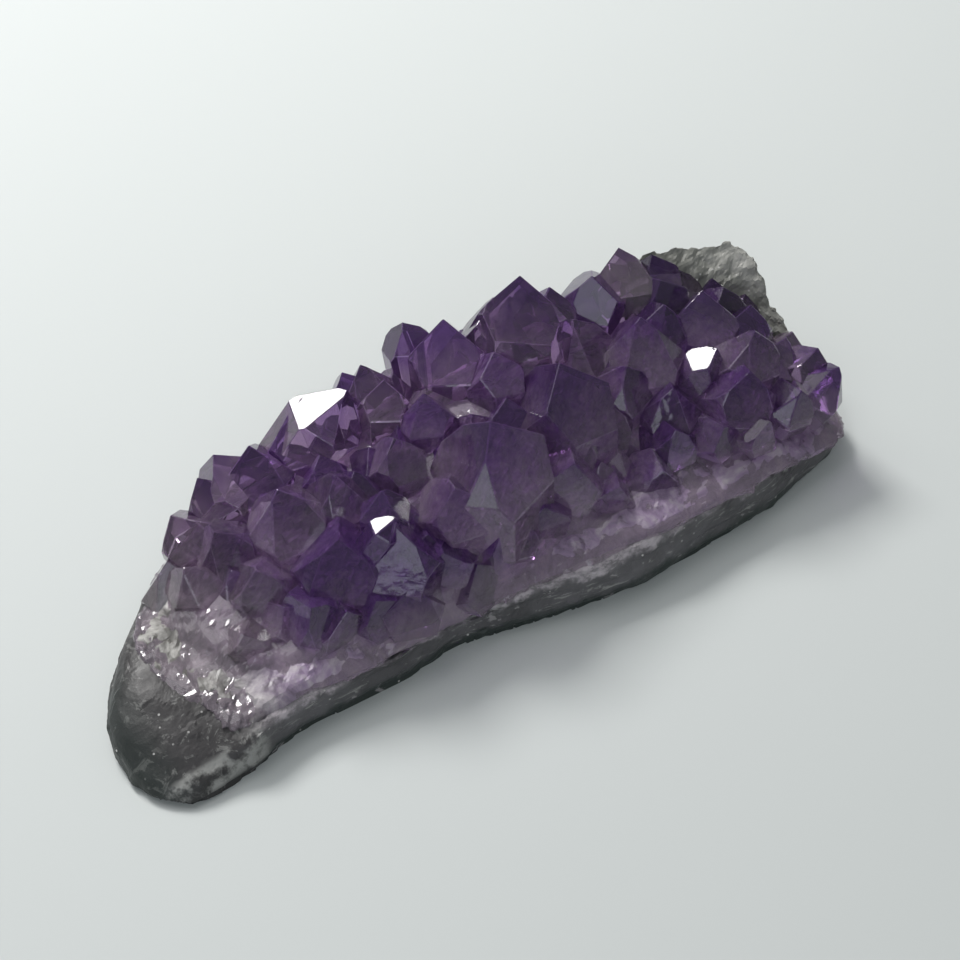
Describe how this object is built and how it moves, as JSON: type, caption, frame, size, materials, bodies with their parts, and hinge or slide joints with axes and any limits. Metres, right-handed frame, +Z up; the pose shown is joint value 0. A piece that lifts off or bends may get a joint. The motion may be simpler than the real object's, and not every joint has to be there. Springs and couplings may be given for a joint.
{
  "type": "amethyst cluster",
  "caption": "Long, low piece of geode wall: grey-green rock slab carrying a dense mass of intergrown purple six-sided quartz crystals with pointed ends.",
  "frame": {"origin": "on the rock's flat underside, under the middle of the cluster's length", "axes": "+X along the cluster's length, from the narrow bare end to the wide end; +Z up, the way the crystals grow"},
  "size_m": [0.1262, 0.0468, 0.032],
  "materials": {
    "rock": "rough dark grey-green geode rock with pale chalcedony patches",
    "amethyst": "glassy purple quartz, paler and greyer towards its roots"
  },
  "bodies": {
    "root": {"rock_matrix": "rock", "amethyst_crystals": "amethyst"}
  },
  "joints": []
}
